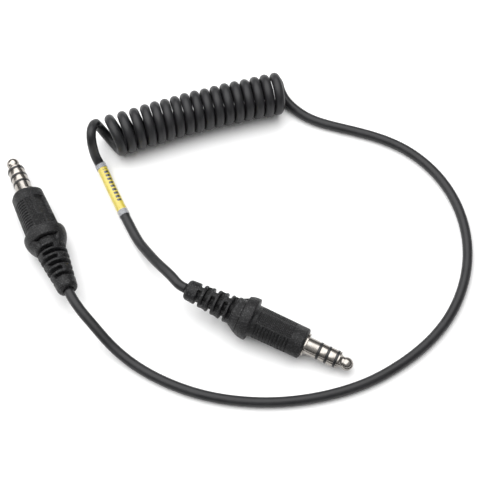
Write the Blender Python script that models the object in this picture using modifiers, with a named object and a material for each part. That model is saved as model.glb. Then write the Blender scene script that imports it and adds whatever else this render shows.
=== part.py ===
"""Coiled adapter lead for a flying helmet's headset.

The same moulded plug with four contacts sits on each end of a cord whose middle is wound into a
retractile coil. Everything lies on the plane z = 0. The origin is under the middle of the box round
the two plugs. Metres, +Z up.
"""

import math

import bmesh
import bpy
import numpy as np
from mathutils import Matrix, Vector

MM = 0.001

# Contacts, along the plug's own axis: z = 0 is the front of the grip, and +z runs to the tip.
SHANK_RADIUS = 3.57 * MM
INSULATOR_RADIUS = 3.66 * MM
INSULATOR_WIDTH = 0.9 * MM
INSULATOR_CENTRES = (13.9 * MM, 10.1 * MM, 6.45 * MM)
BALL_RADIUS = 2.7 * MM
BALL_CENTRE = 18.4 * MM
NECK_RADIUS = 2.25 * MM
NECK_AT = 16.3 * MM
FLANGE_RADIUS = 4.85 * MM
FLANGE_FRONT = 0.95 * MM
SEAM = 0.1 * MM
# Nested tubes behind the visible rings, from the tip's rod outwards: inner and outer radius.
ROD_RADIUS = 0.75 * MM
NESTED_TUBES = ((0.9, 1.15), (1.3, 1.6), (1.75, 2.0), (2.15, 2.45), (2.6, 2.85))
SLEEVE_BORE = 3.0 * MM
TUBE_ENDS = (-14.8, -13.6, -12.4, -11.6, -10.2)
ROD_END = -16.4 * MM
SLEEVE_END = -9.0 * MM
KNURL_RADIUS = 4.1 * MM

# Grip moulding.
BARREL_LENGTH = 22.85 * MM
BARREL_HALF_WIDTH_FRONT = 6.6 * MM
BARREL_HALF_WIDTH_REAR = 7.3 * MM
BARREL_HALF_THICKNESS = 6.0 * MM
BARREL_SQUARENESS = 2.4
GRIP_BORE = 4.7 * MM
COLLAR_RADIUS = 8.95 * MM
COLLAR_EDGE = 23.35 * MM
GRIP_LENGTH = 28.0 * MM
GROOVES = 11
GROOVE_PITCH = 1.37 * MM
FIRST_GROOVE = 6.3 * MM
GROOVE_DEPTH = 0.3 * MM
PANEL_WIDTH = 4.8 * MM
PANEL_ENDS = (4.3 * MM, 13.7 * MM)
PANEL_FLOOR = 5.6 * MM

# Strain-relief boot, behind the grip.
GAP = 0.3 * MM
BOOT_FRONT = -GRIP_LENGTH - GAP
BOOT_END = -52.6 * MM
SLOTS = 6
FIRST_SLOT = -32.4 * MM
SLOT_PITCH = 2.86 * MM
SLOT_WIDTH = 1.5 * MM
SLOT_FLOOR = 2.8 * MM
SLOT_REACH = math.radians(74)

# Cord.
CORD_RADIUS = 2.05 * MM
COIL_RADIUS = 9.2 * MM
COIL_LENGTH = 77.4 * MM
COIL_START = Vector((-27.3 * MM, 57.2 * MM, COIL_RADIUS))
COIL_HEADING = math.radians(17.46)

# Where each plug lies: the foot of its grip's front, its heading, how far it droops to rest on its
# collar and the front of its barrel, its roll, and which way round the boot's first pair of slots opens.
PLUGS = {
    "plug_a": {"seat": (-62.6, 29.5), "heading": 113.7, "droop": 6.2, "roll": 68, "slots": 8.5},
    "plug_b": {"seat": (53.3, -39.6), "heading": -25.1, "droop": 5.6, "roll": -50, "slots": -60.5},
}

# Free stretches of the cord in millimetres, chosen by hand, from each boot to the coil.
LEAD_A_ROUTE = [
    (-41.4, -18.9, 12.1), (-40.1, -21.4, 12.2), (-38.1, -24.5, 11.8), (-35.3, -28.0, 10.7),
    (-31.9, -31.6, 9.2),
    (-26.7, -37.0, 6.5), (-20.8, -42.2, 3.9), (-12.4, -48.3, 2.5), (-0.2, -54.9, 2.2), (12.6, -59.5, 2.15),
    (25.8, -62.0, 2.15), (39.1, -62.7, 2.15), (52.4, -61.6, 2.15), (65.5, -58.8, 2.15),
    (78.4, -54.1, 2.15), (90.6, -47.1, 2.15), (101.9, -38.1, 2.15), (111.6, -26.8, 2.15),
    (118.6, -13.0, 2.15), (122.2, 2.5, 2.15), (121.7, 18.5, 2.15), (117.1, 33.7, 2.15),
    (108.7, 46.7, 2.15), (97.4, 56.5, 2.15), (83.9, 62.8, 2.15), (70.0, 67.0, 2.15),
    (62.9, 69.3, 2.15), (57.6, 71.8, 2.15), (53.0, 75.2, 2.15), (49.0, 79.4, 2.15),
]
LEAD_B_ROUTE = [
    (5.4, -17.2, 11.8), (3.4, -16.0, 12.0), (1.5, -14.0, 11.9), (-0.4, -11.5, 11.5), (-3.9, -7.2, 10.1),
    (-7.7, -2.1, 7.8),
    (-11.3, 3.4, 5.3), (-14.8, 9.0, 3.4), (-18.1, 15.4, 2.85), (-21.7, 22.9, 2.8),
    (-24.6, 29.2, 2.8), (-27.7, 36.0, 2.8), (-30.9, 43.2, 2.95), (-33.3, 47.6, 3.9),
    (-34.5, 49.4, 6.0), (-35.1, 50.7, 8.8), (-35.5, 51.9, 12.0), (-35.8, 53.3, 14.9),
    (-35.7, 55.6, 16.4), (-35.3, 58.9, 15.6), (-33.9, 61.9, 13.2), (-32.2, 63.3, 10.0),
    (-31.4, 63.6, 8.4),
]
MARKER_SPAN = (0.36, 0.56)
SHRINK_SPAN = (0.335, 0.585)
MARKER_RADII = (2.25 * MM, 2.4 * MM)
SHRINK_RADII = (2.55 * MM, 2.7 * MM)


def clear_scene():
    for item in list(bpy.data.objects):
        bpy.data.objects.remove(item, do_unlink=True)


def new_collection(name):
    collection = bpy.data.collections.new(name)
    bpy.context.scene.collection.children.link(collection)
    return collection


def material(name, colour, roughness, metallic=0.0):
    made = bpy.data.materials.get(name) or bpy.data.materials.new(name)
    made.use_nodes = True
    shader = made.node_tree.nodes["Principled BSDF"]
    shader.inputs["Base Color"].default_value = (*colour, 1.0)
    shader.inputs["Roughness"].default_value = roughness
    shader.inputs["Metallic"].default_value = metallic
    return made


def add(name, data, surface, collection=None, parent=None, place=None):
    """Links data as an object that is placed in its parent's frame."""
    item = bpy.data.objects.new(name, data)
    (collection or PARTS).objects.link(item)
    item.parent = parent
    item.matrix_local = place or Matrix.Identity(4)
    if surface:
        data.materials.append(surface)
    return item


def smooth_shade(mesh, angle=35):
    mesh.shade_smooth()
    mesh.set_sharp_from_angle(angle=math.radians(angle))


def turned(name, profile, surface, parent, closed=False, steps=20):
    """A turned piece: (z, radius) points from the tip end down the outer side, then up the bore."""
    mesh = bpy.data.meshes.new(name)
    count = len(profile)
    edges = [(i, i + 1) for i in range(count - 1)] + ([(count - 1, 0)] if closed else [])
    mesh.from_pydata([(radius, 0, z) for z, radius in profile], edges, [])
    item = add(name, mesh, surface, parent=parent)
    screw = item.modifiers.new("Turn", "SCREW")
    screw.steps = screw.render_steps = steps
    screw.use_merge_vertices = True
    screw.merge_threshold = 0.00001
    screw.use_smooth_shade = True
    return item


def cylinder(name, radius, bottom, top, surface, parent):
    """A plain round rod along z."""
    return turned(name, [(top, 0), (top, radius), (bottom, radius), (bottom, 0)], surface, parent)


def tube(name, inner, outer, bottom, top, surface, parent):
    """A plain round sleeve along z."""
    profile = [(top, outer), (bottom, outer), (bottom, inner), (top, inner)]
    return turned(name, profile, surface, parent, closed=True)


def mesh_of_curve(curve):
    """The curve's evaluated mesh with its loose caps welded on."""
    holder = bpy.data.objects.new(curve.name, curve)
    bpy.context.scene.collection.objects.link(holder)
    bpy.context.view_layer.update()
    graph = bpy.context.evaluated_depsgraph_get()
    mesh = bpy.data.meshes.new_from_object(holder.evaluated_get(graph))
    bpy.data.objects.remove(holder, do_unlink=True)
    bm = bmesh.new()
    bm.from_mesh(mesh)
    bmesh.ops.remove_doubles(bm, verts=bm.verts, dist=0.00001)
    bmesh.ops.recalc_face_normals(bm, faces=bm.faces)
    bm.to_mesh(mesh)
    bm.free()
    return mesh


def flat_plate(name, outlines, thickness):
    """A plate cut to one or more closed outlines in the xy plane; an outline inside another is a hole."""
    curve = bpy.data.curves.new(name, "CURVE")
    curve.dimensions = "2D"
    curve.fill_mode = "BOTH"
    curve.extrude = thickness / 2
    for outline in outlines:
        spline = curve.splines.new("POLY")
        spline.points.add(len(outline) - 1)
        for point, (x, y) in zip(spline.points, outline):
            point.co = (x, y, 0, 1)
        spline.use_cyclic_u = True
    return mesh_of_curve(curve)


def arc(radius, start, end, count):
    """Points along a circular arc, both ends included."""
    angles = [start + (end - start) * i / (count - 1) for i in range(count)]
    return [(radius * math.cos(a), radius * math.sin(a)) for a in angles]


def smooth_route(points, count):
    """Points evenly spaced along the natural cubic spline through a route."""
    route = np.array(points, float)
    knots = np.concatenate([[0], np.cumsum(np.linalg.norm(np.diff(route, axis=0), axis=1))])
    step = np.diff(knots)
    slope = np.diff(route, axis=0) / step[:, None]
    size = len(route)
    system = np.eye(size)
    right = np.zeros_like(route)
    for i in range(1, size - 1):
        system[i, i - 1:i + 2] = step[i - 1], 2 * (step[i - 1] + step[i]), step[i]
        right[i] = 6 * (slope[i] - slope[i - 1])
    bend = np.linalg.solve(system, right)

    def at(where):
        i = np.clip(np.searchsorted(knots, where) - 1, 0, size - 2)
        ahead, behind, span = knots[i + 1] - where, where - knots[i], step[i]
        return (
            (bend[i] * ahead[:, None] ** 3 + bend[i + 1] * behind[:, None] ** 3) / (6 * span[:, None])
            + (route[i] / span[:, None] - bend[i] * span[:, None] / 6) * ahead[:, None]
            + (route[i + 1] / span[:, None] - bend[i + 1] * span[:, None] / 6) * behind[:, None]
        )

    fine = np.linspace(0, knots[-1], 40 * size)
    places = at(fine)
    run = np.concatenate([[0], np.cumsum(np.linalg.norm(np.diff(places, axis=0), axis=1))])
    return at(np.interp(np.linspace(0, run[-1], count), run, fine))


def bent_tube(name, points, radius, sides=2):
    """A round rod along a polyline, as a curve with filled caps."""
    curve = bpy.data.curves.new(name, "CURVE")
    curve.dimensions = "3D"
    curve.bevel_depth = radius
    curve.bevel_resolution = sides
    curve.use_fill_caps = True
    spline = curve.splines.new("POLY")
    spline.points.add(len(points) - 1)
    for point, place in zip(spline.points, points):
        point.co = (*place, 1)
    return curve


def bent_sleeve(name, points, inner, outer, surface):
    """A thin sleeve along a polyline: an open round skin given its wall by Solidify."""
    curve = bent_tube(name, points, (inner + outer) / 2, sides=3)
    curve.use_fill_caps = False
    item = add(name, mesh_of_curve(curve), surface)
    wall = item.modifiers.new("Wall", "SOLIDIFY")
    wall.thickness = outer - inner
    wall.offset = 0
    smooth_shade(item.data)
    return item


def lofted(name, rings, bore, surface, parent):
    """A moulding between unlike sections: rings are (z, radius for an angle), front to back."""
    count = 28
    angles = [2 * math.pi * k / count for k in range(count)]
    bm = bmesh.new()

    def ring_of(z, radius_at):
        return [bm.verts.new((radius_at(a) * math.cos(a), radius_at(a) * math.sin(a), z)) for a in angles]

    loops = [ring_of(z, radius_at) for z, radius_at in rings]
    loops += [ring_of(z, lambda a, r=radius: r) for z, radius in bore]
    for near, far in zip(loops, loops[1:] + loops[:1]):
        for k in range(count):
            after = (k + 1) % count
            bm.faces.new((near[k], far[k], far[after], near[after]))
    bmesh.ops.recalc_face_normals(bm, faces=bm.faces)
    mesh = bpy.data.meshes.new(name)
    bm.to_mesh(mesh)
    bm.free()
    smooth_shade(mesh)
    return add(name, mesh, surface, parent=parent)


def barrel_radius(depth, angle):
    """The barrel's rounded-rectangle section: wide across x, where its sides are ribbed."""
    along = min(depth / BARREL_LENGTH, 1)
    half_x = BARREL_HALF_WIDTH_FRONT + (BARREL_HALF_WIDTH_REAR - BARREL_HALF_WIDTH_FRONT) * along
    power = BARREL_SQUARENESS
    x, y = abs(math.cos(angle)) / half_x, abs(math.sin(angle)) / BARREL_HALF_THICKNESS
    return (x ** power + y ** power) ** (-1 / power)


def cut_away(item, shape, parent):
    """Cuts a shape given in the same frame out of a piece."""
    cutter = add(item.name + "_cutter", shape, None, CUTTERS, parent)
    cutter.hide_render = True
    cutter.display_type = "WIRE"
    cut = item.modifiers.new("Cut", "BOOLEAN")
    cut.operation = "DIFFERENCE"
    cut.solver = "EXACT"
    cut.object = cutter


def grip_rings():
    """Sections of the grip, front to back: chamfer, ribbed barrel, fillet, round collar, rear lip."""
    def barrel(depth, cut=0.0, shrink=0.0):
        def radius_at(angle):
            side = max(0.0, min(1.0, (abs(math.cos(angle)) - 0.6) / 0.2))
            return barrel_radius(depth, angle) - cut * side - shrink
        return -depth, radius_at

    rings = [barrel(0, shrink=1.0 * MM), barrel(0.3 * MM, shrink=0.3 * MM), barrel(1.0 * MM), barrel(FIRST_GROOVE - GROOVE_PITCH / 2)]
    for groove in range(GROOVES):
        centre = FIRST_GROOVE + groove * GROOVE_PITCH
        rings += [barrel(centre, cut=GROOVE_DEPTH), barrel(centre + GROOVE_PITCH / 2)]
    rings += [barrel(BARREL_LENGTH - 0.6 * MM), barrel(BARREL_LENGTH, shrink=-0.5 * MM)]
    collar = ((22.85, 8.45), (23.35, 8.95), (25.4, 8.9), (26.8, 8.55), (28.0, 7.95))
    return rings + [(-depth * MM, lambda a, r=radius * MM: r) for depth, radius in collar]


def boot_radius(depth, angle):
    """The boot's outline: bell behind the collar, oval at its base, round at its tail."""
    rounds = ((28.3, 7.75), (28.9, 7.35), (29.8, 6.65), (31.0, 6.0), (33.0, 5.65), (40.0, 5.0),
              (50.0, 4.35), (51.8, 4.2), (52.6, 3.3))
    depths, radii = zip(*rounds)
    base = float(np.interp(depth, depths, radii))
    oval = 0.7 * float(np.interp(depth, (28.3, 31, 46), (0, 1, 0)))
    return (base + oval * math.cos(angle) ** 2) * MM


def make_boot(name, surface, parent, turn):
    """The tapered boot. Each row has two slots with narrow webs between, a quarter turn on from the last."""
    depths = (28.3, 28.9, 29.8, 31.0, 33.0, 36.5, 40.0, 45.0, 50.0, 51.8, 52.6)
    spigot = [(-23.0 * MM, lambda a: 4.4 * MM), (-28.0 * MM, lambda a: 4.4 * MM)]
    outside = [(-depth * MM, lambda a, d=depth: boot_radius(d, a)) for depth in depths]
    bore = [(BOOT_END, 2.25 * MM), (-28.0 * MM, 2.25 * MM), (-28.0 * MM, 2.85 * MM), (-23.0 * MM, 2.85 * MM)]
    boot = lofted(name, spigot + outside, bore, surface, parent)

    outline = arc(SLOT_FLOOR, -SLOT_REACH, SLOT_REACH, 9) + arc(12 * MM, SLOT_REACH, -SLOT_REACH, 7)
    plate = flat_plate(name + "_slot", [outline], SLOT_WIDTH)
    bm = bmesh.new()
    for slot in range(2 * SLOTS):
        row = slot // 2
        side = Matrix.Rotation(math.radians(turn + 90 * (row % 2) + 180 * (slot % 2)), 4, "Z")
        before = set(bm.verts)
        bm.from_mesh(plate)
        fresh = [vert for vert in bm.verts if vert not in before]
        shift = Matrix.Translation((0, 0, FIRST_SLOT - row * SLOT_PITCH))
        bmesh.ops.transform(bm, matrix=shift @ side, verts=fresh)
    bm.to_mesh(plate)
    bm.free()
    cut_away(boot, plate, parent)
    return boot


def solder_tag(name, inner, outer, z, turn, surface, parent):
    """A washer with a lug for one conductor."""
    half_lug, reach, thickness = 0.7 * MM, 3.9 * MM, 0.4 * MM
    start = math.asin(half_lug / outer)
    rim = arc(outer, start, 2 * math.pi - start, 17) + [(reach, -half_lug), (reach, half_lug)]
    hole = arc(inner, 0, 2 * math.pi * 15 / 16, 16)
    mesh = flat_plate(name, [rim, hole], thickness)
    place = Matrix.Translation((0, 0, z)) @ Matrix.Rotation(turn, 4, "Z")
    return add(name, mesh, surface, parent=parent, place=place)


def make_contacts(name, parent):
    """The plated tip, rings and sleeve, stacked on nested insulators, with their solder tags."""
    plated = material("nickel_plate", (0.62, 0.59, 0.55), 0.2, 1.0)
    plastic = material("insulator", (0.02, 0.02, 0.022), 0.4)
    brass = material("tag_brass", (0.75, 0.58, 0.3), 0.35, 1.0)
    half = INSULATOR_WIDTH / 2
    front, middle, rear = INSULATOR_CENTRES
    walls = [(inner * MM, outer * MM) for inner, outer in NESTED_TUBES]
    ends = [end * MM for end in TUBE_ENDS]

    waist = math.asin(NECK_RADIUS / BALL_RADIUS)
    ball = [
        (BALL_CENTRE + BALL_RADIUS * math.cos(a), BALL_RADIUS * math.sin(a))
        for a in np.linspace(0, math.pi - waist, 9)
    ]
    ball[0] = (BALL_CENTRE + BALL_RADIUS, 0)
    shoulder = front + half + SEAM
    tip = ball + [(NECK_AT, NECK_RADIUS), (shoulder + 0.7 * MM, SHANK_RADIUS), (shoulder, SHANK_RADIUS),
                  (shoulder, ROD_RADIUS), (ROD_END, ROD_RADIUS), (ROD_END, 0)]
    turned(name + "_tip", tip, plated, parent)

    def flanged(label, top, bottom, radius, wall, end, surface):
        inner, outer = wall
        profile = [(top, radius), (bottom, radius), (bottom, outer), (end, outer), (end, inner), (top, inner)]
        turned(f"{name}_{label}", profile, surface, parent, closed=True)

    flanged("front_insulator", front + half, front - half, INSULATOR_RADIUS, walls[0], ends[0], plastic)
    flanged("ring_one", front - half - SEAM, middle + half + SEAM, SHANK_RADIUS, walls[1], ends[1], plated)
    flanged("middle_insulator", middle + half, middle - half, INSULATOR_RADIUS, walls[2], ends[2], plastic)
    flanged("ring_two", middle - half - SEAM, rear + half + SEAM, SHANK_RADIUS, walls[3], ends[3], plated)
    flanged("rear_insulator", rear + half, rear - half, INSULATOR_RADIUS, walls[4], ends[4], plastic)

    sleeve_top = rear - half - SEAM
    sleeve = [(sleeve_top, SHANK_RADIUS), (FLANGE_FRONT, SHANK_RADIUS), (FLANGE_FRONT, FLANGE_RADIUS),
              (0.15 * MM, FLANGE_RADIUS), (0.15 * MM, SHANK_RADIUS), (-0.8 * MM, SHANK_RADIUS),
              (-0.8 * MM, KNURL_RADIUS), (-8.0 * MM, KNURL_RADIUS), (-8.0 * MM, SHANK_RADIUS),
              (SLEEVE_END, SHANK_RADIUS), (SLEEVE_END, SLEEVE_BORE), (sleeve_top, SLEEVE_BORE)]
    turned(name + "_sleeve", sleeve, plated, parent, closed=True)

    tags = (("sleeve_tag", 3.05, 4.05, -9.4), ("ring_two_tag", 2.55, 3.0, -11.2),
            ("ring_one_tag", 1.7, 2.6, -13.2), ("tip_tag", 0.85, 2.0, -15.6))
    for order, (label, inner, outer, z) in enumerate(tags):
        solder_tag(f"{name}_{label}", inner * MM, outer * MM, z * MM, order * math.pi / 2, brass, parent)
    return [z * MM for _, _, _, z in tags]


def make_cable_end(name, parent, tag_places):
    """The cord's end inside the plug: jacket, crimped clamp and the four conductors."""
    jacket = material("cord_jacket", (0.035, 0.035, 0.037), 0.5)
    cylinder(name + "_cable_tail", CORD_RADIUS, BOOT_END + 0.1 * MM, -24.5 * MM, jacket, parent)
    steel = material("clamp_steel", (0.55, 0.55, 0.55), 0.35, 1.0)
    tube(name + "_cable_clamp", 2.25 * MM, 2.6 * MM, -27.4 * MM, -25.0 * MM, steel, parent)
    colours = (("black_wire", (0.02, 0.02, 0.02)), ("green_wire", (0.02, 0.3, 0.06)),
               ("white_wire", (0.8, 0.8, 0.8)), ("red_wire", (0.5, 0.02, 0.02)))
    for order, ((label, colour), tag) in enumerate(zip(colours, tag_places)):
        turn = order * math.pi / 2
        track = ((3.45 * MM, tag - 0.4 * MM), (3.45 * MM, -18.0 * MM), (2.6 * MM, -20.0 * MM),
                 (1.3 * MM, -22.2 * MM), (0.95 * MM, -24.3 * MM))
        points = [(r * math.cos(turn), r * math.sin(turn), z) for r, z in track]
        curve = bent_tube(f"{name}_{label}", points, 0.35 * MM)
        add(f"{name}_{label}", curve, material(label, colour, 0.5), parent=parent)


def plug_frame(name, spec):
    """An empty on the plug's axis at the grip's front: z to the tip, y to the moulding's flat side."""
    heading = math.radians(spec["heading"])
    droop = math.radians(spec["droop"])
    level, drop = math.cos(droop), math.sin(droop)
    axis = Vector((level * math.cos(heading), level * math.sin(heading), -drop))
    side = axis.cross(Vector((0, 0, 1))).normalized()
    upper = side.cross(axis)
    turn = math.radians(spec["roll"])
    flat = side * math.cos(turn) + upper * math.sin(turn)
    ribbed = flat.cross(axis)
    height = COLLAR_RADIUS * level - COLLAR_EDGE * drop
    seat = Vector((spec["seat"][0] * MM, spec["seat"][1] * MM, height))
    empty = bpy.data.objects.new(name, None)
    PARTS.objects.link(empty)
    rotation = Matrix((ribbed, flat, axis)).transposed().to_4x4()
    empty.matrix_world = Matrix.Translation(seat) @ rotation
    return empty


def make_plug(name, spec):
    axis = plug_frame(name + "_axis", spec)
    rubber = material("grip_moulding", (0.018, 0.018, 0.02), 0.5)
    soft = material("boot_moulding", (0.016, 0.016, 0.017), 0.45)
    filler = material("inner_mould", (0.12, 0.12, 0.13), 0.6)
    tags = make_contacts(name, axis)
    tube(name + "_inner_mould", 4.25 * MM, 4.55 * MM, -22.5 * MM, -0.6 * MM, filler, axis)
    bore = [(-GRIP_LENGTH, GRIP_BORE), (0, GRIP_BORE)]
    grip = lofted(name + "_grip", grip_rings(), bore, rubber, axis)
    bm = bmesh.new()
    bmesh.ops.create_cube(bm, size=1)
    bmesh.ops.scale(bm, verts=bm.verts, vec=(PANEL_WIDTH, 3 * MM, PANEL_ENDS[1] - PANEL_ENDS[0]))
    middle = Vector((0, PANEL_FLOOR + 1.5 * MM, -sum(PANEL_ENDS) / 2))
    bmesh.ops.translate(bm, verts=bm.verts, vec=middle)
    panel = bpy.data.meshes.new(name + "_panel")
    bm.to_mesh(panel)
    bm.free()
    cut_away(grip, panel, axis)
    make_boot(name + "_boot", soft, axis, spec["slots"])
    make_cable_end(name, axis, tags)


def make_cord():
    """The straight leads, the coil's outer shape, and the marker under its clear sleeve."""
    jacket = material("cord_jacket", (0.035, 0.035, 0.037), 0.5)
    lead_a = smooth_route([Vector(p) * MM for p in LEAD_A_ROUTE], 58)
    lead_b = smooth_route([Vector(p) * MM for p in LEAD_B_ROUTE], 22)
    add("lead_a", bent_tube("lead_a", lead_a, CORD_RADIUS), jacket)
    add("lead_b", bent_tube("lead_b", lead_b, CORD_RADIUS), jacket)

    bm = bmesh.new()
    bmesh.ops.create_cone(bm, cap_ends=True, segments=24, radius1=COIL_RADIUS, radius2=COIL_RADIUS,
                          depth=COIL_LENGTH)
    coil = bpy.data.meshes.new("coil")
    bm.to_mesh(coil)
    bm.free()
    smooth_shade(coil)
    lie = Matrix.Rotation(COIL_HEADING, 4, "Z") @ Matrix.Rotation(math.pi / 2, 4, "Y")
    middle = Matrix.Translation(COIL_START) @ lie @ Matrix.Translation((0, 0, COIL_LENGTH / 2))
    add("coil", coil, jacket, place=middle)

    fine = smooth_route(lead_b, 200)
    yellow = material("marker_yellow", (0.85, 0.72, 0.05), 0.4)
    clear = material("heat_shrink", (0.75, 0.77, 0.8), 0.15)
    for name, span, radii, surface in (
        ("marker", MARKER_SPAN, MARKER_RADII, yellow),
        ("heat_shrink", SHRINK_SPAN, SHRINK_RADII, clear),
    ):
        stretch = fine[int(span[0] * 200):int(span[1] * 200)]
        bent_sleeve(name, smooth_route(stretch, 9), *radii, surface)


clear_scene()
PARTS = new_collection("coiled_adapter_lead")
CUTTERS = new_collection("cutters")
for plug, layout in PLUGS.items():
    make_plug(plug, layout)
make_cord()
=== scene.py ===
import math

import bpy
import mathutils
import numpy as np
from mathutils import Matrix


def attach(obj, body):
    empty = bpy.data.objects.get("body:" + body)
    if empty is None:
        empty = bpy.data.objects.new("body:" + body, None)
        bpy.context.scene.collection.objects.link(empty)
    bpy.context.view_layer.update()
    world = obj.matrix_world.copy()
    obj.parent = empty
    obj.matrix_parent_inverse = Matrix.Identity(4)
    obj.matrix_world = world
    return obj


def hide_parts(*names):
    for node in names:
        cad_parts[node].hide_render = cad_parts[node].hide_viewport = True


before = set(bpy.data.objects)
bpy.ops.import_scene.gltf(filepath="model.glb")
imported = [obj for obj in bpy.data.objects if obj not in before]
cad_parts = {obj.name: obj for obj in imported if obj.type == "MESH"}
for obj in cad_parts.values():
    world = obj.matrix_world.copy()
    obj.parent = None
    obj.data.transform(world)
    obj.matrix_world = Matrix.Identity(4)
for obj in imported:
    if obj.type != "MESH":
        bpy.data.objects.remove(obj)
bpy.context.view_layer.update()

# The table and the camera. The lead lies on a plain pale table top and is looked down on from the
# front with a long lens, from a little over half a metre away.
table_mesh = bpy.data.meshes.new("table_top")
table_mesh.from_pydata([(-3, -3, 0), (3, -3, 0), (3, 3, 0), (-3, 3, 0)], [], [(0, 1, 2, 3)])
table = bpy.data.objects.new("table_top", table_mesh)
bpy.context.scene.collection.objects.link(table)

camera_data = bpy.data.cameras.new("camera")
camera_data.lens = 107.0
camera_data.sensor_width = 36.0
camera_data.clip_start = 0.01
camera = bpy.data.objects.new("camera", camera_data)
camera.location = (0.0275, -0.2793, 0.5248)
camera.rotation_euler = (math.radians(29.0), 0, 0)
bpy.context.scene.collection.objects.link(camera)
bpy.context.scene.camera = camera

# The cord. One length of screened four-core cable in a satin black rubber jacket, 4.1 mm across, runs
# from plug to plug. Its middle was wound on a mandrel and heat-set, so that it springs back to a coil.
# Its route is in millimetres, and the coiled part is drawn a little fuller than the leads.
jacket_radius = 0.00205
coil_turns = 17
coil_foot = np.array([-25.86, 57.67, 9.53])
coil_heading = math.radians(17.46)
coil_centre_radius = 7.22
coil_cord_radius = 0.00213

lead_to_plug_a = np.array([
    (-41.62, -18.3, 12.05), (-41.2, -19.3, 12.15), (-40.1, -21.4, 12.2), (-38.1, -24.5, 11.8),
    (-35.3, -28.0, 10.7), (-31.9, -31.6, 9.2), (-26.7, -37.0, 6.5), (-20.8, -42.2, 3.9), (-12.4, -48.3, 2.5),
    (-0.2, -54.9, 2.2), (12.6, -59.5, 2.15), (25.8, -62.0, 2.15), (39.1, -62.7, 2.15), (52.4, -61.6, 2.15),
    (65.5, -58.8, 2.15), (78.4, -54.1, 2.15), (90.6, -47.1, 2.15), (101.9, -38.1, 2.15), (111.6, -26.8, 2.15),
    (118.6, -13.0, 2.15), (122.2, 2.5, 2.15), (121.7, 18.5, 2.15), (117.1, 33.7, 2.15), (108.7, 46.7, 2.15),
    (97.4, 56.5, 2.15), (83.9, 62.8, 2.15), (70.0, 67.0, 2.15), (62.9, 69.3, 2.15), (57.6, 71.8, 2.15),
    (53.0, 75.2, 2.15), (49.0, 79.4, 2.15), (46.6, 83.2, 2.4), (45.3, 85.5, 4.2), (44.5, 86.2, 7.6),
])
lead_to_plug_b = np.array([
    (-34.9, 60.2, 14.6), (-35.5, 57.6, 16.1), (-35.75, 55.0, 16.55), (-35.75, 52.8, 15.3),
    (-35.55, 51.3, 12.6), (-35.15, 50.3, 9.2), (-34.5, 49.2, 6.2), (-33.3, 47.6, 3.9),
    (-30.9, 43.2, 2.95), (-27.7, 36.0, 2.8),
    (-24.6, 29.2, 2.8), (-21.7, 22.9, 2.8), (-18.1, 15.4, 2.85), (-14.8, 9.0, 3.4), (-11.3, 3.4, 5.3),
    (-7.7, -2.1, 7.8), (-3.9, -7.2, 10.1), (-0.4, -11.5, 11.5), (1.5, -14.0, 11.9), (3.4, -16.0, 12.0),
    (5.2, -17.05, 11.85), (5.95, -17.42, 11.78),
])


def coil_points(per_turn):
    """The coil's centreline: a circle that turns about a level axis while it moves along it. A turn number
    falls from 17 to 0; each turn moves 4.5 mm, less one term that opens the last four turns and one
    that leans the turns over. The axis bows gently away and every turn is a little larger or smaller."""
    turn = np.linspace(coil_turns, 0.0, coil_turns * per_turn + 1)
    angle = np.radians(33 + 360 * (coil_turns - turn))
    lean = 0.6 + 4.2 * np.exp(-(turn - 0.5) / 2.1) - 0.03 * np.maximum(turn - 5.5, 0)
    along = 73.5 - 4.5 * (coil_turns - turn) - 0.2 * np.maximum(4.5 - turn, 0) ** 2
    along += lean * np.sin(np.pi * turn) ** 2 + 0.01 * np.sin(2.3 * turn)
    radius = coil_centre_radius * (1 + 0.012 * np.sin(1.7 * turn) - 0.02 * np.sin(np.pi * turn / coil_turns))
    bow = 1.5 * np.sin(np.pi * turn / coil_turns)
    axis = np.array([math.cos(coil_heading), math.sin(coil_heading), 0])
    away = np.array([-math.sin(coil_heading), math.cos(coil_heading), 0])
    level = along[:, None] * axis + (bow + radius * np.cos(angle))[:, None] * away
    return coil_foot + level + (radius * np.sin(angle))[:, None] * np.array([0, 0, 1])


def smooth_line(points, spacing):
    """Points evenly spaced along the natural cubic spline through a route. The bends at the route's points
    solve the usual three-term system, and each span is a cubic blend of its two ends."""
    run = np.concatenate([[0], np.cumsum(np.linalg.norm(np.diff(points, axis=0), axis=1))])
    step = np.diff(run)
    slope = np.diff(points, axis=0) / step[:, None]
    count = len(points)
    system = np.eye(count)
    inner = np.arange(1, count - 1)
    system[inner, inner - 1] = step[:-1]
    system[inner, inner] = 2 * (step[:-1] + step[1:])
    system[inner, inner + 1] = step[1:]
    known = np.zeros_like(points)
    known[1:-1] = 6 * np.diff(slope, axis=0)
    bend = np.linalg.solve(system, known)

    def at(where):
        """The spline at distances along its chords, by the cubic blend of each span's ends."""
        i = np.clip(np.searchsorted(run, where) - 1, 0, count - 2)
        ahead, behind, span = (run[i + 1] - where)[:, None], (where - run[i])[:, None], step[i][:, None]
        cubic = (bend[i] * ahead ** 3 + bend[i + 1] * behind ** 3) / (6 * span)
        near = (points[i] / span - bend[i] * span / 6) * ahead
        return cubic + near + (points[i + 1] / span - bend[i + 1] * span / 6) * behind

    fine = np.linspace(0, run[-1], 20 * count)
    length = np.concatenate([[0], np.cumsum(np.linalg.norm(np.diff(at(fine), axis=0), axis=1))])
    even = np.linspace(0, length[-1], int(length[-1] / spacing) + 1)
    return at(np.interp(even, length, fine))


def carried_frames(line):
    """Two directions square to a line at each of its points, carried along it without twist: each pair is
    the last one with its part along the new tangent taken out."""
    tangent = np.gradient(line, axis=0)
    tangent /= np.linalg.norm(tangent, axis=1)[:, None]
    first = np.empty_like(line)
    across = np.cross(tangent[0], (0, 0, 1))
    for i, ahead in enumerate(tangent):
        across = across - ahead * (across @ ahead)
        across /= np.linalg.norm(across)
        first[i] = across
    return first, np.cross(first, tangent)


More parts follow.
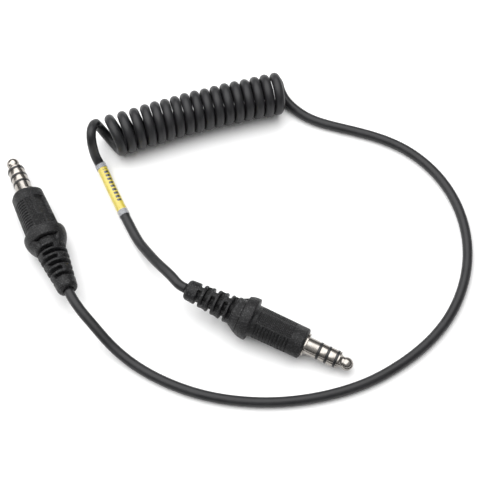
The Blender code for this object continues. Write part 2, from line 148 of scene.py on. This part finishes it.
def piece_from_rings(name, rings, closed, wrap=None):
    """A skin over rings of points, row by row: each ring joins the next and runs round on itself. A closed
    skin joins its last ring to its first, and an open one has a flat cap on each end. wrap holds a
    vector for each point that materials read."""
    rows, columns = rings.shape[:2]
    i = np.arange(rows if closed else rows - 1)[:, None]
    j = np.arange(columns)[None, :]
    here, after = i * columns, (i + 1) % rows * columns
    beside = (j + 1) % columns
    quads = np.stack([here + j, after + j, after + beside, here + beside], axis=-1).reshape(-1, 4)
    points = rings.reshape(-1, 3)
    a, b, c, d = (points[quads[:, k]] - points.mean(0) for k in range(4))
    volume = np.einsum("ij,ij->", a, np.cross(b, c)) + np.einsum("ij,ij->", a, np.cross(c, d))
    faces = quads.tolist()
    if not closed:
        faces += [np.arange(columns).tolist(), ((rows - 1) * columns + np.arange(columns)[::-1]).tolist()]
    if volume < 0:
        faces = [face[::-1] for face in faces]
    mesh = bpy.data.meshes.new(name)
    mesh.from_pydata(points.tolist(), [], faces)
    if wrap is not None:
        layer = mesh.attributes.new("wrap", "FLOAT_VECTOR", "POINT")
        layer.data.foreach_set("vector", wrap.astype(np.float32).ravel())
    mesh.shade_smooth()
    piece = bpy.data.objects.new(name, mesh)
    bpy.context.scene.collection.objects.link(piece)
    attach(piece, "root")
    return piece


def round_about(line, radii, sides):
    """Rings about a line: each point is the line's point plus its radius times cosine and sine of an angle
    along the two carried directions. Also the wrap: distance along in mm, and the cosine and sine."""
    first, second = carried_frames(line)
    angle = np.linspace(0, 2 * np.pi, sides, endpoint=False)
    cosine, sine = np.cos(angle)[None, :], np.sin(angle)[None, :]
    ring = cosine[..., None] * first[:, None, :] + sine[..., None] * second[:, None, :]
    rings = line[:, None, :] + radii[:, None, None] * ring
    run = np.concatenate([[0], np.cumsum(np.linalg.norm(np.diff(line, axis=0), axis=1))]) * 1000
    return rings, np.stack(np.broadcast_arrays(run[:, None], cosine, sine), axis=-1)


def new_material(name, colour, roughness, metallic=0.0, specular=0.5):
    """A material with its shader's plain values set, and the tools to add nodes to it."""
    surface = bpy.data.materials.new(name)
    surface.use_nodes = True
    tree = surface.node_tree
    shader = tree.nodes["Principled BSDF"]
    shader.inputs["Base Color"].default_value = (*colour, 1)
    shader.inputs["Roughness"].default_value = roughness
    shader.inputs["Metallic"].default_value = metallic
    shader.inputs["Specular IOR Level"].default_value = specular
    return surface, tree, shader


def add_node(tree, kind, settings=None, **inputs):
    """A node with its settings and its inputs, each a value or another node's output."""
    node = tree.nodes.new(kind)
    for key, value in (settings or {}).items():
        setattr(node, key, value)
    for key, value in inputs.items():
        socket = node.inputs[int(key[1:])] if key[0] == "i" and key[1:].isdigit() else node.inputs[key]
        if isinstance(value, bpy.types.NodeSocket):
            tree.links.new(value, socket)
        else:
            socket.default_value = value
    return node


def grain_group():
    """Moulded or extruded rubber's skin. Fine noise and coarse noise, each at its own size, add up to a
    height, and the fine one, sharpened, is a speckle of single grains: glossier spots, and in the mouldings
    also painted glints."""
    tree = bpy.data.node_groups.new("rubber_grain", "ShaderNodeTree")
    tree.interface.new_socket("Place", in_out="INPUT", socket_type="NodeSocketVector")
    for name, value in (("Fine", 3000.0), ("Coarse", 400.0), ("Sharpness", 0.5)):
        tree.interface.new_socket(name, in_out="INPUT", socket_type="NodeSocketFloat").default_value = value
    for name in ("Height", "Speckle", "Cloud"):
        tree.interface.new_socket(name, in_out="OUTPUT", socket_type="NodeSocketFloat")
    given = tree.nodes.new("NodeGroupInput")
    put = tree.nodes.new("NodeGroupOutput")
    fine = add_node(tree, "ShaderNodeTexNoise", Vector=given.outputs["Place"], Scale=given.outputs["Fine"],
                    Detail=2.0, Roughness=0.6)
    coarse = add_node(tree, "ShaderNodeTexNoise", Vector=given.outputs["Place"],
                      Scale=given.outputs["Coarse"], Detail=3.0, Roughness=0.5)
    start = add_node(tree, "ShaderNodeMath", {"operation": "MULTIPLY_ADD"}, i0=given.outputs["Sharpness"],
                     i1=0.2, i2=0.45)
    speckle = add_node(tree, "ShaderNodeMapRange", {"interpolation_type": "SMOOTHSTEP"},
                       Value=fine.outputs["Fac"])
    tree.links.new(start.outputs[0], speckle.inputs["From Min"])
    speckle.inputs["From Max"].default_value = 0.72
    both = add_node(tree, "ShaderNodeMath", {"operation": "MULTIPLY_ADD"}, i0=coarse.outputs["Fac"], i1=0.5,
                    i2=fine.outputs["Fac"])
    tree.links.new(both.outputs[0], put.inputs["Height"])
    tree.links.new(speckle.outputs[0], put.inputs["Speckle"])
    tree.links.new(coarse.outputs["Fac"], put.inputs["Cloud"])
    return tree


rubber_grain = grain_group()


def add_grain(tree, place, fine, coarse, sharpness):
    """The rubber grain, read at a place."""
    node = tree.nodes.new("ShaderNodeGroup")
    node.node_tree = rubber_grain
    tree.links.new(place, node.inputs["Place"])
    node.inputs["Fine"].default_value = fine
    node.inputs["Coarse"].default_value = coarse
    node.inputs["Sharpness"].default_value = sharpness
    return node


def object_place(tree):
    """The place of a point in its object's own coordinates, in metres."""
    return add_node(tree, "ShaderNodeTexCoord").outputs["Object"]


def vary_colour(tree, shader, mask, dark, light):
    """Base colour between two colours by a mask."""
    mix = add_node(tree, "ShaderNodeMix", {"data_type": "RGBA"}, i0=mask)
    mix.inputs[6].default_value = (*dark, 1)
    mix.inputs[7].default_value = (*light, 1)
    tree.links.new(mix.outputs[2], shader.inputs["Base Color"])
    return mix


def vary_roughness(tree, shader, mask, low, high):
    """Roughness between two values by a mask."""
    span = add_node(tree, "ShaderNodeMapRange", Value=mask)
    span.inputs["To Min"].default_value = low
    span.inputs["To Max"].default_value = high
    tree.links.new(span.outputs[0], shader.inputs["Roughness"])


def add_bump(tree, shader, height, strength, distance):
    """A bump from a height, in metres of relief."""
    bump = add_node(tree, "ShaderNodeBump", Height=height, Strength=strength, Distance=distance)
    tree.links.new(bump.outputs["Normal"], shader.inputs["Normal"])
    return bump


def jacket_material():
    """Satin black rubber with the faint lengthwise drag lines of extrusion and a slight mottle."""
    surface, tree, shader = new_material("cord_jacket", (0.018, 0.018, 0.019), 0.45, specular=0.35)
    wrap = add_node(tree, "ShaderNodeAttribute", {"attribute_name": "wrap"}).outputs["Vector"]
    stretched = add_node(tree, "ShaderNodeMapping", Vector=wrap, Scale=(0.05, 6.0, 6.0))
    lines = add_node(tree, "ShaderNodeTexNoise", Vector=stretched.outputs[0], Scale=1.0, Detail=3.0)
    spread = add_node(tree, "ShaderNodeMapping", Vector=wrap, Scale=(0.55, 1.0, 1.0))
    grain = add_grain(tree, spread.outputs[0], 9.0, 0.5, 0.4)
    vary_colour(tree, shader, grain.outputs["Cloud"], (0.006, 0.006, 0.007), (0.024, 0.024, 0.026))
    vary_roughness(tree, shader, grain.outputs["Cloud"], 0.34, 0.5)
    relief = add_node(tree, "ShaderNodeMath", {"operation": "MULTIPLY_ADD"}, i0=lines.outputs["Fac"], i1=0.8,
                      i2=grain.outputs["Height"])
    add_bump(tree, shader, relief.outputs[0], 0.5, 0.00005)
    return surface


cord_jacket = jacket_material()
route = np.concatenate([lead_to_plug_a, coil_points(per_turn=24), lead_to_plug_b])
cord_line = smooth_line(route, spacing=0.9) / 1000
coil_middle, coil_half, coil_fade = 0.58, 0.33, 0.03
from_coil = np.abs(np.linspace(0, 1, len(cord_line)) - coil_middle)
swell = np.clip((coil_half - from_coil) / coil_fade, 0, 1)
cord_radii = jacket_radius + (coil_cord_radius - jacket_radius) * swell
cord_rings, cord_wrap = round_about(cord_line, cord_radii, sides=28)
cord = piece_from_rings("cord", cord_rings, False, cord_wrap)
cord.data.materials.append(cord_jacket)
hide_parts("lead_a", "coil", "lead_b")
cord_length = float(np.linalg.norm(np.diff(cord_line, axis=0), axis=1).sum())

# The marker. A yellow film with a row of plain black bars is wrapped once round the cord near the second
# plug and held under a clear heat-shrink sleeve, which looks grey where only the black cord lies under it.
marker_from, marker_to = np.array([-31.8, 45.0, 2.9]) / 1000, np.array([-22.2, 24.0, 2.8]) / 1000
sleeve_overhang = 0.0027
bar_span, bar_pitch = (1.2, 18.5), 1.9


def sleeve_round_cord(name, start, end, inner, outer):
    """A thin round wall that follows the cord from one distance to another: its rings run along the outside
    and back along the inside, with the rims rounded by half a circle."""
    run = np.concatenate([[0], np.cumsum(np.linalg.norm(np.diff(cord_line, axis=0), axis=1))])
    half = (outer - inner) / 2
    turn = np.linspace(0, np.pi, 7)[1:-1]
    straight = np.linspace(start, end, 60)
    along = np.concatenate([straight, end + half * np.sin(turn), straight[::-1], start - half * np.sin(turn)])
    radii = np.concatenate([np.full(60, outer), inner + half + half * np.cos(turn), np.full(60, inner),
                            inner + half - half * np.cos(turn)])
    line = np.stack([np.interp(along, run, cord_line[:, k]) for k in range(3)], axis=-1)
    first, second = (np.stack([np.interp(along, run, way[:, k]) for k in range(3)], axis=-1)
                     for way in carried_frames(cord_line))
    angle = np.linspace(0, 2 * np.pi, 64, endpoint=False)
    cosine, sine = np.cos(angle)[None, :], np.sin(angle)[None, :]
    ring = cosine[..., None] * first[:, None, :] + sine[..., None] * second[:, None, :]
    rings = line[:, None, :] + radii[:, None, None] * ring
    wrap = np.stack(np.broadcast_arrays((along[:, None] - start) * 1000, cosine, sine), axis=-1)
    return piece_from_rings(name, rings, True, wrap)


def distance_along_cord(point):
    """How far along the cord the nearest of its evenly spaced points lies."""
    nearest = int(np.argmin(np.linalg.norm(cord_line - point, axis=1)))
    return nearest * cord_length / (len(cord_line) - 1)


marker_start, marker_end = distance_along_cord(marker_from), distance_along_cord(marker_to)
upper_right = np.array([0.29, 0.13, 0.95])
marker_middle = int((marker_start + marker_end) / 2 / cord_length * len(cord_line))
bar_way = [float(way[marker_middle] @ upper_right) for way in carried_frames(cord_line)]
marker = sleeve_round_cord("marker_film", marker_start, marker_end, 0.0021, 0.00222)
shrink = sleeve_round_cord("clear_sleeve", marker_start - sleeve_overhang, marker_end + sleeve_overhang,
                           0.00227, 0.00243)


def film_material():
    """Glossy yellow film with a row of black bars: ink where the wrap's direction is close to the row's, the
    distance along falls on a bar, and the distance is inside the row."""
    surface, tree, shader = new_material("marker_yellow", (0.85, 0.66, 0.03), 0.3)
    wrap = add_node(tree, "ShaderNodeAttribute", {"attribute_name": "wrap"}).outputs["Vector"]
    grain = add_grain(tree, wrap, 6.0, 0.8, 0.4)
    film = vary_colour(tree, shader, grain.outputs["Cloud"], (0.52, 0.41, 0.006), (0.60, 0.48, 0.012))
    along = add_node(tree, "ShaderNodeSeparateXYZ", Vector=wrap).outputs["X"]
    row_way = (0.0, bar_way[0], bar_way[1])
    level = add_node(tree, "ShaderNodeVectorMath", {"operation": "DOT_PRODUCT"}, i0=wrap, i1=row_way)
    ticks = add_node(tree, "ShaderNodeMath", {"operation": "PINGPONG"}, i0=along, i1=bar_pitch / 2)
    bars = add_node(tree, "ShaderNodeMath", {"operation": "GREATER_THAN"}, i0=level.outputs["Value"], i1=0.9)
    for test, value, limit in (("GREATER_THAN", ticks.outputs[0], 0.36), ("GREATER_THAN", along, bar_span[0]),
                               ("LESS_THAN", along, bar_span[1])):
        passed = add_node(tree, "ShaderNodeMath", {"operation": test}, i0=value, i1=limit)
        bars = add_node(tree, "ShaderNodeMath", {"operation": "MULTIPLY"}, i0=bars.outputs[0],
                        i1=passed.outputs[0])
    inked = add_node(tree, "ShaderNodeMix", {"data_type": "RGBA"}, i0=bars.outputs[0])
    inked.inputs[7].default_value = (0.012, 0.011, 0.010, 1)
    tree.links.new(film.outputs[2], inked.inputs[6])
    tree.links.new(inked.outputs[2], shader.inputs["Base Color"])
    shader.inputs["Coat Weight"].default_value = 0.8
    shader.inputs["Coat Roughness"].default_value = 0.12
    add_bump(tree, shader, grain.outputs["Height"], 0.2, 0.00002)
    return surface


def sleeve_material():
    """Clear shrunk plastic. It all but vanishes over the film and turns greyer within 3 mm of its two ends,
    where the distance from its middle is largest."""
    surface, tree, shader = new_material("heat_shrink", (0.62, 0.63, 0.66), 0.12)
    wrap = add_node(tree, "ShaderNodeAttribute", {"attribute_name": "wrap"}).outputs["Vector"]
    grain = add_grain(tree, wrap, 5.0, 0.6, 0.4)
    vary_roughness(tree, shader, grain.outputs["Cloud"], 0.08, 0.2)
    along = add_node(tree, "ShaderNodeSeparateXYZ", Vector=wrap).outputs["X"]
    half_length = (marker_end - marker_start + 2 * sleeve_overhang) * 1000 / 2
    offset = add_node(tree, "ShaderNodeMath", {"operation": "SUBTRACT"}, i0=along, i1=half_length)
    offset = add_node(tree, "ShaderNodeMath", {"operation": "ABSOLUTE"}, i0=offset.outputs[0])
    ends = add_node(tree, "ShaderNodeMapRange", {"interpolation_type": "SMOOTHSTEP"}, Value=offset.outputs[0])
    ends.inputs["From Min"].default_value = half_length - 2.9
    ends.inputs["From Max"].default_value = half_length - 2.4
    ends.inputs["To Min"].default_value = 0.03
    ends.inputs["To Max"].default_value = 0.3
    tree.links.new(ends.outputs[0], shader.inputs["Alpha"])
    add_bump(tree, shader, grain.outputs["Cloud"], 0.3, 0.0001)
    return surface


marker.data.materials.append(film_material())
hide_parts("marker")
shrink.data.materials.append(sleeve_material())
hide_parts("heat_shrink")

# The contacts. Each plug has a solid tip rod, two rings and a sleeve, turned from brass and nickel plated,
# stacked on nested insulators that stand a hair proud of the shank. The sleeve ends in a bright flange.
plugs = {
    "plug_a": {"seat": (-0.0626, 0.0295), "heading": 113.7, "droop": 6.2, "roll": 68.0, "slots": 8.5,
               "scallop": (66, 38)},
    "plug_b": {"seat": (0.0533, -0.0396), "heading": -25.1, "droop": 5.6, "roll": -50.0, "slots": -60.5,
               "scallop": (-104, 28)},
}
collar_radius, collar_edge = 0.00895, 0.02335


def plug_axes(lie):
    """Where a plug's grip begins and its three directions: across the ribbed sides, out of the flat face,
    and along the axis to the tip. The collar's front edge touches the table."""
    heading, droop, roll = (math.radians(lie[key]) for key in ("heading", "droop", "roll"))
    level = math.cos(droop)
    axis = np.array([level * math.cos(heading), level * math.sin(heading), -math.sin(droop)])
    side = np.cross(axis, (0, 0, 1))
    side /= np.linalg.norm(side)
    flat = side * math.cos(roll) + np.cross(side, axis) * math.sin(roll)
    height = collar_radius * math.cos(droop) - collar_edge * math.sin(droop)
    return np.array([*lie["seat"], height]), np.stack([np.cross(flat, axis), flat, axis])


def polar_rings(lie, along, radius, angle):
    """Rings about a plug's axis: each point lies at a distance along it and at a radius and an angle from
    the ribbed side. Distances and radii are in millimetres."""
    seat, ways = plug_axes(lie)
    along, radius = np.broadcast_arrays(along, radius)
    local = np.stack([radius * np.cos(angle), radius * np.sin(angle), along + 0 * angle], axis=-1) / 1000
    return seat + local @ ways


def softened(profile, radius, closed):
    """A turned outline with each corner rounded: the corner becomes an arc-like curve between two points a
    radius back along its sides, a quadratic blend of the two and the corner."""
    points = np.array(profile, float)
    out = []
    for k, corner in enumerate(points):
        if not closed and k in (0, len(points) - 1):
            out.append(corner[None])
            continue
        sides = [points[k - 1] - corner, points[(k + 1) % len(points)] - corner]
        reach = [side / np.linalg.norm(side) * min(radius, np.linalg.norm(side) * 0.45) for side in sides]
        t = np.linspace(0, 1, 5)[:, None]
        out.append(corner + reach[0] * (1 - t) ** 2 + reach[1] * t ** 2)
    return np.concatenate(out)


def turned_piece(name, lie, profile, radius=0.08, closed=True):
    """A turned piece: its softened outline, as (along, radius) in millimetres, carried round the axis."""
    outline = softened(profile, radius, closed)
    angle = np.linspace(0, 2 * np.pi, 96, endpoint=False)[None, :]
    return piece_from_rings(name, polar_rings(lie, outline[:, :1], outline[:, 1:], angle), closed)


def nickel_material():
    """Nickel plate: warm white metal, polished, with fine noise in its gloss and relief and clouded tone."""
    surface, tree, shader = new_material("nickel_plate", (0.62, 0.58, 0.53), 0.2, metallic=1.0)
    place = object_place(tree)
    cloud = add_node(tree, "ShaderNodeTexNoise", Vector=place, Scale=420.0, Detail=4.0, Roughness=0.6)
    vary_colour(tree, shader, cloud.outputs["Fac"], (0.25, 0.23, 0.21), (0.44, 0.415, 0.385))
    fine = add_node(tree, "ShaderNodeTexNoise", Vector=place, Scale=2600.0, Detail=3.0, Roughness=0.7)
    vary_roughness(tree, shader, fine.outputs["Fac"], 0.10, 0.30)
    add_bump(tree, shader, fine.outputs["Fac"], 0.12, 0.00002)
    return surface


def insulator_material():
    """Hard black moulded plastic with a light satin."""
    surface, tree, shader = new_material("insulator", (0.012, 0.012, 0.013), 0.35)
    grain = add_grain(tree, object_place(tree), 2600.0, 500.0, 0.4)
    vary_colour(tree, shader, grain.outputs["Cloud"], (0.008, 0.008, 0.009), (0.018, 0.018, 0.019))
    vary_roughness(tree, shader, grain.outputs["Speckle"], 0.3, 0.5)
    add_bump(tree, shader, grain.outputs["Height"], 0.15, 0.00002)
    return surface


nickel_plate, insulator_plastic = nickel_material(), insulator_material()
ball_angles = np.linspace(0.06, math.pi - math.asin(2.25 / 2.7), 40)
ball = [(18.4 + 2.7 * math.cos(a), 2.7 * math.sin(a)) for a in ball_angles]
shoulder_curve = [(15.75 - 0.62 * math.sin(a), 2.5 + 1.0 * (1 - math.cos(a)) + 0.05)
                  for a in (0.5, 0.8, 1.1, 1.35)]
tip_outline = ball + [(16.3, 2.25), (16.0, 2.3)] + shoulder_curve + [
    (15.1, 3.57), (14.45, 3.57), (14.45, 0.75), (-16.4, 0.75), (-16.4, 0.05)]
contact_outlines = {
    "tip": tip_outline,
    "ring_one": [(13.35, 3.57), (10.65, 3.57), (10.65, 1.6), (-13.6, 1.6), (-13.6, 1.3), (13.35, 1.3)],
    "ring_two": [(9.55, 3.57), (7.0, 3.57), (7.0, 2.45), (-11.6, 2.45), (-11.6, 2.15), (9.55, 2.15)],
    "sleeve": [(5.9, 3.57), (0.95, 3.57), (0.95, 4.85), (0.15, 4.85), (0.15, 3.57), (-0.8, 3.57), (-0.8, 4.1),
               (-8.0, 4.1), (-8.0, 3.57), (-9.0, 3.57), (-9.0, 3.0), (5.9, 3.0)],
    "front_insulator": [(14.35, 3.68), (13.45, 3.68), (13.45, 1.15), (-14.8, 1.15), (-14.8, 0.9),
                        (14.35, 0.9)],
    "middle_insulator": [(10.55, 3.68), (9.65, 3.68), (9.65, 2.0), (-12.4, 2.0), (-12.4, 1.75),
                         (10.55, 1.75)],
    "rear_insulator": [(6.9, 3.68), (6.0, 3.68), (6.0, 2.85), (-10.2, 2.85), (-10.2, 2.6), (6.9, 2.6)],
}
for plug, lie in plugs.items():
    for part, outline in contact_outlines.items():
        contact = turned_piece(f"{plug}_{part}_turned", lie, outline, closed=part != "tip")
        plastic = part.endswith("insulator")
        contact.data.materials.append(insulator_plastic if plastic else nickel_plate)
        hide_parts(f"{plug}_{part}")

# The grips. Each is a black rubber moulding over the contacts, oval with two flat faces, ribbed on its
# narrow sides with beds of fine pips beside them, a blank sunk panel on one flat and a round collar behind.
rib_pitch, first_rib, rib_count, grip_bore = 1.38, 6.3, 11, 4.7
pip_pitch, pip_degrees = 0.69, 6.75
panel_middle, panel_half_width, panel_ends, panel_floor = math.radians(110), 2.6, (4.9, 14.9), 5.5


def soft_step(low, high, value):
    """Nought below low and one above high, with an S-shaped rise between."""
    t = np.clip((value - low) / (high - low), 0, 1)
    return t * t * (3 - 2 * t)


def barrel_surface(depth, angle):
    """The barrel's radius at a depth behind its front. A rounded rectangle, |x/a|^p + |y/b|^p = 1, widens to
    the rear. Grooves, a cosine of the depth, cross the two narrow sides. The beds beside them are sunk but
    for pips, a product of two cosines. The panel is a plane floor inside a rectangle with a plain border."""
    half_x = 6.6 + 0.7 * np.clip(depth / 22.85, 0, 1)
    radius = ((np.abs(np.cos(angle)) / half_x) ** 2.5 + (np.abs(np.sin(angle)) / 5.95) ** 2.5) ** (-1 / 2.5)
    off_side = np.degrees(np.arcsin(np.abs(np.sin(angle - math.radians(13)))))
    last_rib = first_rib + (rib_count - 0.5) * rib_pitch
    ribbed = soft_step(first_rib - 0.7, first_rib - 0.6, depth)
    ribbed = ribbed * (1 - soft_step(last_rib, last_rib + 0.1, depth))
    groove = soft_step(-0.1, 0.75, np.cos(2 * np.pi * (depth - first_rib) / rib_pitch))
    groove = groove * (1 - soft_step(30, 34, off_side))
    pip = 0.5 + 0.5 * np.cos(2 * np.pi * depth / pip_pitch)
    pip = pip * (0.5 + 0.5 * np.cos(2 * np.pi * off_side / pip_degrees))
    bed = soft_step(36, 38, off_side) * (1 - soft_step(84, 86, off_side))
    sunk = 0.34 * bed * ribbed * (1 - 1.3 * np.minimum(pip, 0.75))
    radius = radius - 0.45 * ribbed * groove - sunk
    across, height = radius * np.sin(angle - panel_middle), radius * np.cos(angle - panel_middle)
    on_flat = height > 4
    inset = np.minimum(depth - panel_ends[0], panel_ends[1] - depth)
    inset = np.minimum(panel_half_width - np.abs(across), inset)
    floor = np.where(on_flat, panel_floor / np.maximum(np.cos(angle - panel_middle), 0.5), radius)
    radius = radius + np.where(on_flat, sunk, 0) * soft_step(-0.9, -0.8, inset)
    return radius + (np.minimum(radius, floor) - radius) * soft_step(0, 0.16, inset)


def grip_rings(lie):
    """The grip's rings: out over the rounded front edge, down the barrel, up a small fillet and the collar's
    front, over the collar, which falls away behind as a power of the depth, and back through the bore."""
    angle = np.linspace(0, 2 * np.pi, 300, endpoint=False)[None, :]
    edge = np.linspace(0, np.pi / 2, 9)[:, None]
    depth = np.linspace(1.0, 22.2, 240)[:, None]
    front = barrel_surface(np.full((1, 1), 1.0), angle)
    rear = barrel_surface(np.full((1, 1), 22.2), angle)
    along = [np.full((1, 1), 0.0), 1.0 - np.cos(edge), depth, 22.2 + 0.65 * np.sin(edge[1:])]
    radius = [np.full((1, 300), grip_bore), front - 1.0 + np.sin(edge), barrel_surface(depth, angle),
              rear + 0.65 * (1 - np.cos(edge[1:]))]
    bell = np.linspace(0, 1, 24)[:, None]
    along += [22.85 + 0 * edge[:1], 22.85 + 0.5 * (1 - np.cos(edge)), 23.6 + 3.75 * bell]
    curve = 8.95 - 0.75 * bell ** 2.2
    radius += [8.3 + 0 * rear, 8.45 + 0.5 * np.sin(edge) + 0 * rear, curve + 0 * rear]
    along += [np.full((1, 1), 27.45), np.full((1, 1), 27.45)]
    radius += [curve[-1:] - 0.12 + 0 * rear, np.full((1, 300), grip_bore)]
    return polar_rings(lie, -np.concatenate(along), np.concatenate(radius), angle)


def moulding_material(name, dark, light, fine, relief):
    """Black moulding rubber with its mould's fine spark-eroded grain in its relief and gloss, and painted
    glints: the base colour is painted paler on the grain speckle, where grains would catch the light.
    """
    surface, tree, shader = new_material(name, dark, 0.5, specular=0.3)
    grain = add_grain(tree, object_place(tree), fine, 260.0, 0.3)
    # Painted glints: the speckle lifts the base colour from near black towards pale grey, in place of grains
    # catching the light.
    vary_colour(tree, shader, grain.outputs["Speckle"], dark, light)
    vary_roughness(tree, shader, grain.outputs["Speckle"], 0.5, 0.25)
    add_bump(tree, shader, grain.outputs["Height"], 0.7, relief)
    return surface


# The grip's second colour is the colour of its painted glints.
grip_moulding = moulding_material("grip_moulding", (0.004, 0.004, 0.0045), (0.05, 0.05, 0.052),
                                  fine=2100.0, relief=0.0003)
for plug, lie in plugs.items():
    grip = piece_from_rings(f"{plug}_grip_moulding", grip_rings(lie), True)
    grip.data.materials.append(grip_moulding)
    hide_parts(f"{plug}_grip")

# The strain reliefs. A softer black boot is moulded on behind each collar: a bell with a scallop on one
# flat side, then a taper with six rows of deep slots, two to a row, so that it can flex.
slot_rows, core_radius, boot_bore = (32.3, 35.0, 37.8, 40.7, 43.6, 46.6), 2.7, 2.12


def boot_surface(depth, angle, lie):
    """The boot's radius at a depth. Its widths across the ribbed and flat sides follow two tapers and meet
    as an ellipse; near the collar a scallop is cut into one flat side. In a row of slots the radius falls to
    the core, but for webs 15 degrees to each side of the row's axis, which turns by a right angle from row
    to row; the fins' edges are eased."""
    steps = (27.6, 28.3, 29.1, 29.9, 30.7, 31.5, 35.1, 41.3, 46.4, 50.5, 51.6)
    wide = np.interp(depth, steps, (8.12, 7.8, 7.4, 6.98, 6.62, 6.45, 6.3, 5.55, 4.85, 4.35, 4.25))
    thick = np.interp(depth, steps, (8.12, 7.75, 7.25, 6.7, 6.2, 5.9, 5.5, 5.05, 4.58, 4.33, 4.25))
    radius = wide * thick / np.hypot(thick * np.cos(angle), wide * np.sin(angle))
    middle, half_span = lie["scallop"]
    off_middle = np.degrees(np.arccos(np.cos(angle - math.radians(middle))))
    scallop = 1 - soft_step(half_span - 3, half_span + 7, off_middle)
    radius = radius - np.maximum(radius - 6.15, 0) * scallop * (1 - soft_step(29.5, 31.5, depth))
    radius = radius - (1 - np.sqrt(np.clip(1 - ((depth - 51.1) / 1.5) ** 2, 0, 1))) * 1.5 * (depth > 51.1)
    uncut = radius
    for row, centre in enumerate(slot_rows):
        off_slots = np.abs(np.cos(angle - math.radians(lie["slots"] + 90 * (row % 2))))
        reach = soft_step(math.cos(math.radians(78)), math.cos(math.radians(72)), off_slots)
        gap = np.abs(depth - centre)
        opening = 1 - soft_step(0.72, 0.82, gap)
        eased = np.clip(1 - (gap - 0.78) / 0.45, 0, 1) ** 2 * 0.3
        radius = np.minimum(radius, uncut - reach * (opening * (uncut - core_radius) + (1 - opening) * eased))
    return radius


def boot_rings(lie):
    """The boot's rings: up its front face, along the bell, the slotted taper and the rounded end, and back
    through the bore round the cord."""
    angle = np.linspace(0, 2 * np.pi, 180, endpoint=False)[None, :]
    bell, slotted = np.linspace(27.6, 31.4, 26), np.arange(31.45, 47.5, 0.06)
    tail = np.linspace(47.6, 51.4, 16)
    rounded = 51.5 + 1.1 * np.sin(np.linspace(0, np.pi / 2, 9))
    depth = np.concatenate([bell, slotted, tail, rounded])[:, None]
    outside = boot_surface(depth, angle, lie)
    bore = np.full((1, 180), boot_bore)
    along = np.concatenate([[[27.6]], depth, [[52.6]]])
    return polar_rings(lie, -along, np.concatenate([bore, outside, bore]), angle)


# The boot's second colour is the colour of its painted glints.
boot_moulding = moulding_material("boot_moulding", (0.003, 0.003, 0.0035), (0.06, 0.06, 0.062),
                                  fine=1900.0, relief=0.0003)
for plug, lie in plugs.items():
    boot = piece_from_rings(f"{plug}_boot_moulding", boot_rings(lie), True)
    boot.data.materials.append(boot_moulding)
    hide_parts(f"{plug}_boot")

# Inside the grips. The four conductors are stripped, dressed forward from a steel clamp on the jacket and
# soldered to brass tags at the back of the contacts, all held in a hard inner moulding.


def finish_inner(name, dark, light, roughness, metallic=0.0, fine=2200.0):
    """A plain inner finish: colour clouded between two tones, with a fine grain in its gloss and relief."""
    surface, tree, shader = new_material(name, dark, roughness, metallic)
    grain = add_grain(tree, object_place(tree), fine, 500.0, 0.4)
    vary_colour(tree, shader, grain.outputs["Cloud"], dark, light)
    vary_roughness(tree, shader, grain.outputs["Speckle"], roughness, min(roughness + 0.2, 1))
    add_bump(tree, shader, grain.outputs["Height"], 0.25, 0.00003)
    return surface


inner_finishes = {
    "tag": finish_inner("tag_brass", (0.62, 0.44, 0.18), (0.78, 0.60, 0.30), 0.28, 1.0),
    "cable_clamp": finish_inner("clamp_steel", (0.42, 0.42, 0.42), (0.60, 0.60, 0.60), 0.32, 1.0),
    "inner_mould": finish_inner("inner_mould", (0.10, 0.10, 0.11), (0.15, 0.15, 0.16), 0.5),
    "black_wire": finish_inner("black_wire", (0.012, 0.012, 0.012), (0.022, 0.022, 0.022), 0.4),
    "green_wire": finish_inner("green_wire", (0.015, 0.24, 0.05), (0.025, 0.34, 0.08), 0.4),
    "white_wire": finish_inner("white_wire", (0.72, 0.72, 0.70), (0.84, 0.84, 0.82), 0.4),
    "red_wire": finish_inner("red_wire", (0.42, 0.015, 0.015), (0.56, 0.03, 0.03), 0.4),
    "cable_tail": finish_inner("cord_jacket_inside", (0.014, 0.014, 0.015), (0.024, 0.024, 0.026), 0.42),
}
for node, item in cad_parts.items():
    for ending, finish in inner_finishes.items():
        if node.endswith(ending):
            item.data.materials.clear()
            item.data.materials.append(finish)

# Light. A broad soft box hangs over the table with a small one at its left, in a plain white room that is
# pale overhead and dim at the horizon.


def soft_box(name, place, size, power):
    """A square lamp that faces the middle of the table."""
    lamp_data = bpy.data.lights.new(name, "AREA")
    lamp_data.shape = "RECTANGLE"
    lamp_data.size, lamp_data.size_y = size
    lamp_data.energy = power
    lamp = bpy.data.objects.new(name, lamp_data)
    lamp.location = place
    toward = mathutils.Vector((0.02, 0.0, 0.0)) - mathutils.Vector(place)
    lamp.rotation_euler = toward.to_track_quat("-Z", "Y").to_euler()
    bpy.context.scene.collection.objects.link(lamp)
    return lamp


soft_box("overhead_box", (-0.25, 0.25, 1.0), (1.8, 1.6), 24.0)
soft_box("left_box", (-1.3, 0.1, 0.5), (0.5, 0.5), 2.0)
world = bpy.data.worlds.new("pale_room")
world.use_nodes = True
way = add_node(world.node_tree, "ShaderNodeTexCoord").outputs["Generated"]
rise = add_node(world.node_tree, "ShaderNodeSeparateXYZ", Vector=way).outputs["Z"]
room = add_node(world.node_tree, "ShaderNodeMapRange", {"interpolation_type": "SMOOTHSTEP"}, Value=rise)
room.inputs["To Min"].default_value = 0.06
room.inputs["To Max"].default_value = 0.6
world.node_tree.links.new(room.outputs[0], world.node_tree.nodes["Background"].inputs["Strength"])
world.node_tree.nodes["Background"].inputs["Color"].default_value = (1, 1, 1, 1)
bpy.context.scene.world = world
bpy.context.scene.view_settings.view_transform = "Standard"

surface, tree, shader = new_material("table_paint", (0.93, 0.93, 0.93), 0.7)
mottle = add_node(tree, "ShaderNodeTexNoise", Vector=object_place(tree), Scale=60.0, Detail=2.0)
vary_colour(tree, shader, mottle.outputs["Fac"], (0.925, 0.925, 0.925), (0.935, 0.935, 0.935))
table.data.materials.append(surface)
